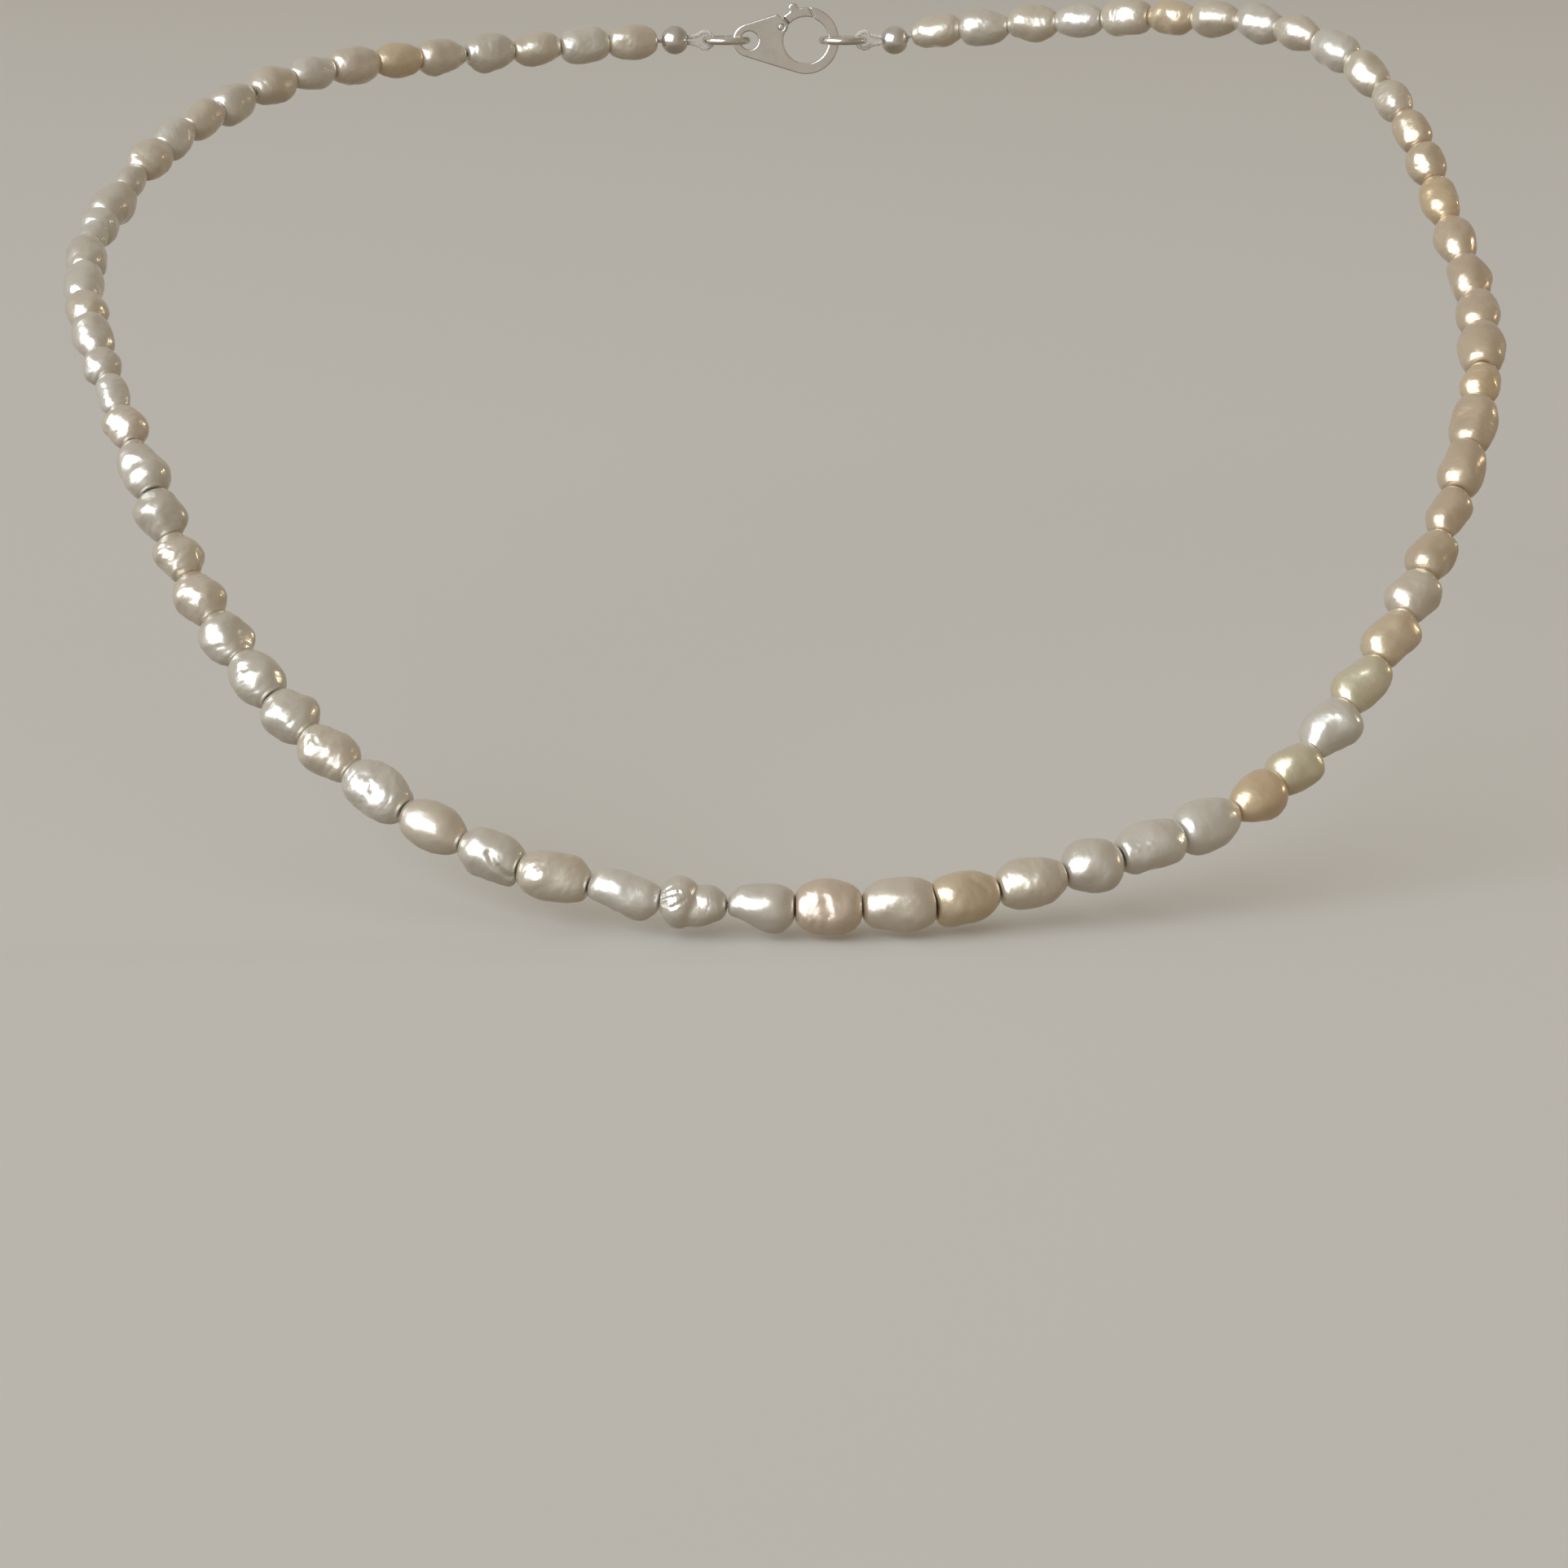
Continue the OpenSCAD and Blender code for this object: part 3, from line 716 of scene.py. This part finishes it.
def makeSilver(name, gloss):
    s = silverSettings
    material = bpy.data.materials.new(name)
    material.use_nodes = True
    tree = material.node_tree
    link = tree.links.new
    shader = tree.nodes["Principled BSDF"]
    place = addNode(tree, "ShaderNodeTexCoord")
    wear = addNode(tree, "ShaderNodeTexNoise", Scale=s["wearScale"], Detail=5.0)
    scratch = addNode(tree, "ShaderNodeTexNoise", Scale=s["scratchScale"], Detail=3.0, Distortion=1.5)
    for texture in (wear, scratch):
        link(place.outputs["Object"], texture.inputs["Vector"])
    link(addRange(tree, wear.outputs["Fac"], s["glossFrom"], gloss), shader.inputs["Roughness"])
    patch = addRange(tree, wear.outputs["Fac"], s["dullFrom"], (0, s["dullMost"]))
    link(addBlend(tree, patch, s["bright"], s["dull"]), shader.inputs["Base Color"])
    bump = addNode(tree, "ShaderNodeBump", Strength=s["bumpStrength"], Distance=s["bumpDistance"] * mm)
    link(scratch.outputs["Fac"], bump.inputs["Height"])
    link(bump.outputs["Normal"], shader.inputs["Normal"])
    shader.inputs["Metallic"].default_value = 1
    return material


silver = makeSilver("polishedSilver", gloss=(0.1, 0.26))
springSteel = makeSilver("springSteel", gloss=(0.28, 0.45))


def finishPiece(obj, body, slot, material, *nodes):
    obj.data.materials.clear()
    obj.data.materials.append(material)
    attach(obj, body)
    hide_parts(*nodes)
    return obj


castSettings = {
    "grain": 0.07, "merge": 0.001,  # mm between points of the casting, and of the solid that are one
    "smooth": 9,  # passes that round its edges
}


def castPiece(node, name):  # a rounded casting in the place of a flat-edged solid
    obj = copyOf(frame["nodes"][node], name)
    obj.parent = None
    mergeClose(obj, castSettings["merge"])
    growSkin(obj, castSettings["grain"], castSettings["smooth"])
    return obj


finishPiece(castPiece("clasp_body", "claspBody"), "clasp", "metal", silver, "clasp_body")
finishPiece(castPiece("clasp_lever", "claspLever"), "lever", "metal", silver, "clasp_lever")

rivetSettings = {"radius": 0.3, "dome": 0.1, "sides": 40, "domeSteps": 4, "smoothAngle": 35}


def makeRivet():
    s = rivetSettings
    low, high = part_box("lever_pin")
    clearSelection()
    bpy.ops.mesh.primitive_cylinder_add(vertices=s["sides"], radius=s["radius"] * mm, depth=high.y - low.y)
    obj = bpy.context.object
    obj.name = "leverRivet"
    dome = obj.modifiers.new("dome", "BEVEL")  # rounds the two rims
    dome.width = s["dome"] * mm
    dome.segments = s["domeSteps"]
    dome.limit_method = "ANGLE"
    applyModifiers(obj)
    bpy.ops.object.shade_smooth_by_angle(angle=math.radians(s["smoothAngle"]))
    applyPlace(obj, Matrix.Translation((low + high) / 2) @ Matrix.Rotation(math.radians(90), 4, "X"))
    return obj


finishPiece(makeRivet(), "clasp", "metal", silver, "lever_pin")

ringSettings = {"around": 120, "wire": 24, "smoothAngle": 35}


def makeJumpRing(node, name):
    s = ringSettings
    low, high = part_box(node)
    wire = (high.z - low.z) / 2
    across = (high.x - low.x) / 2 - wire
    clearSelection()
    bpy.ops.mesh.primitive_torus_add(
        major_segments=s["around"], minor_segments=s["wire"],
        major_radius=across, minor_radius=wire)
    obj = bpy.context.object
    obj.name = name
    step = math.radians(360 / s["around"])
    # one slice is the closed cut
    dropFaces(obj, lambda co: 0 < math.atan2(co.y, co.x) - math.pi / 2 < step)
    bpy.ops.object.mode_set(mode="EDIT")
    bpy.ops.mesh.select_mode(type="EDGE")
    bpy.ops.mesh.select_non_manifold()
    bpy.ops.mesh.fill_holes(sides=0)
    bpy.ops.object.mode_set(mode="OBJECT")
    bpy.ops.object.shade_smooth_by_angle(angle=math.radians(s["smoothAngle"]))
    applyPlace(obj, Matrix.Translation((low + high) / 2))
    return obj


coverSettings = {
    "radius": 1.5, "wall": 0.32, "hole": 0.66, "edge": 0.05,  # mm
    "around": 64, "rings": 48, "edgeSteps": 2, "smoothAngle": 40,
}


def makeCover(node, name):  # folded bead over the crimp, open along one seam
    s = coverSettings
    clearSelection()
    bpy.ops.mesh.primitive_uv_sphere_add(segments=s["around"], ring_count=s["rings"], radius=s["radius"] * mm)
    obj = bpy.context.object
    obj.name = name
    step = math.radians(360 / s["around"])
    dropFaces(obj, lambda co: math.hypot(co.x, co.y) < s["hole"] * mm or 0 < math.atan2(co.y, co.x) < step)
    wall = obj.modifiers.new("wall", "SOLIDIFY")
    wall.thickness = s["wall"] * mm
    wall.offset = -1
    edge = obj.modifiers.new("edge", "BEVEL")
    edge.width = s["edge"] * mm
    edge.segments = s["edgeSteps"]
    edge.limit_method = "ANGLE"
    applyModifiers(obj)
    bpy.ops.object.shade_smooth_by_angle(angle=math.radians(s["smoothAngle"]))
    low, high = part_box(node)
    turn = Matrix.Rotation(math.radians(90), 4, "Y")
    applyPlace(obj, Matrix.Translation((low + high) / 2) @ turn)
    return obj


def refinishNode(node, material):  # the solid stays, with a better finish
    materials = frame["nodes"][node].data.materials
    materials.clear()
    materials.append(material)


for side in ("left", "right"):
    ring = makeJumpRing("jump_ring_" + side, "jumpRing_" + side)
    finishPiece(ring, "ring_" + side, "metal", silver, "jump_ring_" + side)
    cover = makeCover("crimp_cover_" + side, "crimpCover_" + side)
    finishPiece(cover, "strand", "metal", silver, "crimp_cover_" + side)
    refinishNode("crimp_" + side, silver)
refinishNode("lever_spring", springSteel)
print("clasp, rings and crimp covers made")


# beading thread
threadSettings = {
    "plies": 3, "plyRadius": 0.12, "lay": 0.13, "twist": 1.6, "step": 0.25,  # mm
    "loopRadius": 0.85, "loopOpen": 40, "loopSteps": 14, "channel": 0.3, "wire": 0.4, "loopPast": 0.08,
    "crimpIn": 0.95, "crimpOut": 1.4, "tail": 0.55,  # from the middle of the crimp
    "merge": 0.0001,
}
silkSettings = {
    "deep": (0.62, 0.58, 0.5), "pale": (0.86, 0.83, 0.76), "fibreScale": 9000, "roughness": 0.7, "sheen": 0.4,
    "bumpStrength": 0.5, "bumpDistance": 0.03,  # mm
}


def threadEnd(side):  # from the strand through the crimp, round the ring and back to the tail
    s = threadSettings
    word = "left" if side < 0 else "right"
    crimp = boxMiddle("crimp_" + word)
    low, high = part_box("jump_ring_" + word)
    wire = low.x + s["wire"] * mm if side < 0 else high.x - s["wire"] * mm
    loop = wire + side * s["loopPast"] * mm
    near, far = crimp.x + side * s["crimpIn"] * mm, crimp.x - side * s["crimpOut"] * mm
    flat = [(near, -s["channel"]), (far, -s["channel"])]
    for i in range(s["loopSteps"] + 1):
        a = math.radians(s["loopOpen"] - 360 + i * (360 - 2 * s["loopOpen"]) / s["loopSteps"])
        flat.append((loop + side * s["loopRadius"] * mm * math.cos(a), -s["loopRadius"] * math.sin(a)))
    flat += [(far, s["channel"]), (crimp.x + side * s["tail"] * mm, s["channel"])]
    return [Vector((x, crimp.y, crimp.z + z * mm)) for x, z in flat]


def smoothLine(points, step):  # even points on a smooth curve through all of them
    fine = []
    for i in range(len(points) - 1):
        a, b, c, d = (points[max(0, min(len(points) - 1, i + k))] for k in (-1, 0, 1, 2))
        count = max(2, round((c - b).length / step))
        for k in range(count):
            t = k / count
            fine.append(b + t / 2 * (c - a + t * (2 * a - 5 * b + 4 * c - d + t * (3 * (b - c) + d - a))))
    return fine + [points[-1]]


def makeThread(points):
    s = threadSettings
    line = smoothLine(points, s["step"] * mm)
    plies = []
    for ply in range(s["plies"]):
        data = bpy.data.curves.new("ply", "CURVE")
        data.dimensions = "3D"
        data.bevel_depth = s["plyRadius"] * mm
        data.bevel_resolution = 1
        data.use_fill_caps = True
        spline = data.splines.new("POLY")
        spline.points.add(len(line) - 1)
        run, side = 0.0, Vector((0, 1, 0))
        for i, p in enumerate(line):
            along = (line[min(i + 1, len(line) - 1)] - line[max(i - 1, 0)]).normalized()
            side = (side - side.dot(along) * along).normalized()
            angle = 2 * math.pi * (run / (s["twist"] * mm) + ply / s["plies"])
            at = p + s["lay"] * mm * (math.cos(angle) * side + math.sin(angle) * along.cross(side))
            spline.points[i].co = (*at, 1)
            if i + 1 < len(line):
                run += (line[i + 1] - p).length
        obj = bpy.data.objects.new("ply", data)
        bpy.context.scene.collection.objects.link(obj)
        plies.append(obj)
    makeActive(plies[0])
    for obj in plies:
        obj.select_set(True)
    bpy.ops.object.convert(target="MESH")
    bpy.ops.object.join()
    obj = bpy.context.object
    mergeClose(obj, s["merge"])  # closes the plies' ends
    bpy.ops.object.shade_smooth()
    obj.name = "beadingThread"
    return obj


def makeSilk():
    s = silkSettings
    material = bpy.data.materials.new("beadingSilk")
    material.use_nodes = True
    tree = material.node_tree
    shader = tree.nodes["Principled BSDF"]
    place = addNode(tree, "ShaderNodeTexCoord")
    fibre = addNode(tree, "ShaderNodeTexNoise", Scale=s["fibreScale"], Detail=3.0)
    tree.links.new(place.outputs["Object"], fibre.inputs["Vector"])
    shade = addBlend(tree, fibre.outputs["Fac"], s["deep"], s["pale"])
    tree.links.new(shade, shader.inputs["Base Color"])
    bump = addNode(tree, "ShaderNodeBump", Strength=s["bumpStrength"], Distance=s["bumpDistance"] * mm)
    tree.links.new(fibre.outputs["Fac"], bump.inputs["Height"])
    tree.links.new(bump.outputs["Normal"], shader.inputs["Normal"])
    shader.inputs["Roughness"].default_value = s["roughness"]
    shader.inputs["Sheen Weight"].default_value = s["sheen"]
    return material


strung = backLeftPlaces + places + backRightPlaces
knots = []
for i in range(len(strung) + 1):
    near = []
    if i > 0:
        mid, along, length = strung[i - 1]
        near.append(mid + along * length / 2)
    if i < len(strung):
        mid, along, length = strung[i]
        near.append(mid - along * length / 2)
    knots.append(sum(near, Vector()) / len(near))
threadPoints = list(reversed(threadEnd(-1))) + knots + threadEnd(1)
finishPiece(makeThread(threadPoints), "strand", "thread", makeSilk(), "beading_thread")
print("thread through", len(strung), "pearls")


# floor, light and camera
floorSettings = {"size": 8.0, "drop": 0.0004, "color": (0.8, 0.79, 0.76), "roughness": 0.9}
clearSelection()
floorLevel = cadLow.z - floorSettings["drop"]
bpy.ops.mesh.primitive_plane_add(size=floorSettings["size"], location=(0, 0, floorLevel))
floor = bpy.context.object
floor.name = "floor"
paper = bpy.data.materials.new("palePaper")
paper.use_nodes = True
paperShader = paper.node_tree.nodes["Principled BSDF"]
paperShader.inputs["Base Color"].default_value = (*floorSettings["color"], 1)
paperShader.inputs["Roughness"].default_value = floorSettings["roughness"]
floor.data.materials.append(paper)
floor.visible_glossy = floor.visible_diffuse = False  # the pearls mirror the room alone

lightSettings = {
    "window": {
        "aim": (0, 0, 0.02), "toward": (-0.70, -0.62, 0.35), "away": 5.0, "size": (6.5, 4.75),
        "power": 230, "color": (0.84, 0.915, 1.0)},
    "lamp": {
        "aim": (0.05, -0.035, 0.02), "toward": (0.915, 0.33, 0.24), "away": 2.5, "radius": 0.08,
        "beam": 2.6, "edge": 0.7, "power": 40, "color": (1.0, 0.82, 0.55)},
}


def placeLight(data, s):
    toward = Vector(s["toward"]).normalized()
    data.energy = s["power"]
    data.color = s["color"]
    light = bpy.data.objects.new(data.name, data)
    bpy.context.scene.collection.objects.link(light)
    light.location = Vector(s["aim"]) + toward * s["away"]
    light.rotation_euler = toward.to_track_quat("Z", "Y").to_euler()
    light.visible_camera = False


window = bpy.data.lights.new("window", "AREA")
window.shape = "RECTANGLE"
window.size, window.size_y = lightSettings["window"]["size"]
placeLight(window, lightSettings["window"])
lamp = bpy.data.lights.new("lamp", "SPOT")  # a narrow warm beam from the right
lamp.shadow_soft_size = lightSettings["lamp"]["radius"]
lamp.spot_size = math.radians(lightSettings["lamp"]["beam"])
lamp.spot_blend = lightSettings["lamp"]["edge"]
placeLight(lamp, lightSettings["lamp"])

# soft light from all round, palest above and on the left
roomSettings = {
    "above": (0.43, 0.39, 0.33), "below": (0.2, 0.165, 0.12), "right": (0.23, 0.185, 0.13),
    "blend": (-0.85, -0.15), "turn": (-0.1, 0.85), "turnMost": 0.7}
world = bpy.data.worlds.new("room")
bpy.context.scene.world = world
world.use_nodes = True
room = world.node_tree
toward = addNode(room, "ShaderNodeTexCoord")
parts = addNode(room, "ShaderNodeSeparateXYZ")
room.links.new(toward.outputs["Generated"], parts.inputs["Vector"])
soft = {"interpolation_type": "SMOOTHSTEP"}
rise = addRange(room, parts.outputs["Z"], roomSettings["blend"], (0, 1), **soft)
turn = addRange(room, parts.outputs["X"], roomSettings["turn"], (0, roomSettings["turnMost"]), **soft)
glow = addBlend(room, rise, roomSettings["below"], roomSettings["above"])
dusk = addBlend(room, turn, glow, roomSettings["right"])
room.links.new(dusk, room.nodes["Background"].inputs["Color"])
bpy.context.scene.view_settings.view_transform = "Standard"

cameraSettings = {
    "at": (-0.00006, -0.32894, 0.08188), "pitch": 15, "lens": 81.2, "sensor": 36, "clip": (0.01, 20)}
view = bpy.data.cameras.new("view")
view.lens = cameraSettings["lens"]
view.sensor_width = cameraSettings["sensor"]
view.clip_start, view.clip_end = cameraSettings["clip"]
camera = bpy.data.objects.new("view", view)
bpy.context.scene.collection.objects.link(camera)
camera.location = cameraSettings["at"]
camera.rotation_euler = Euler((math.radians(90 - cameraSettings["pitch"]), 0, 0))
bpy.context.scene.camera = camera
print("stage, light and camera set")
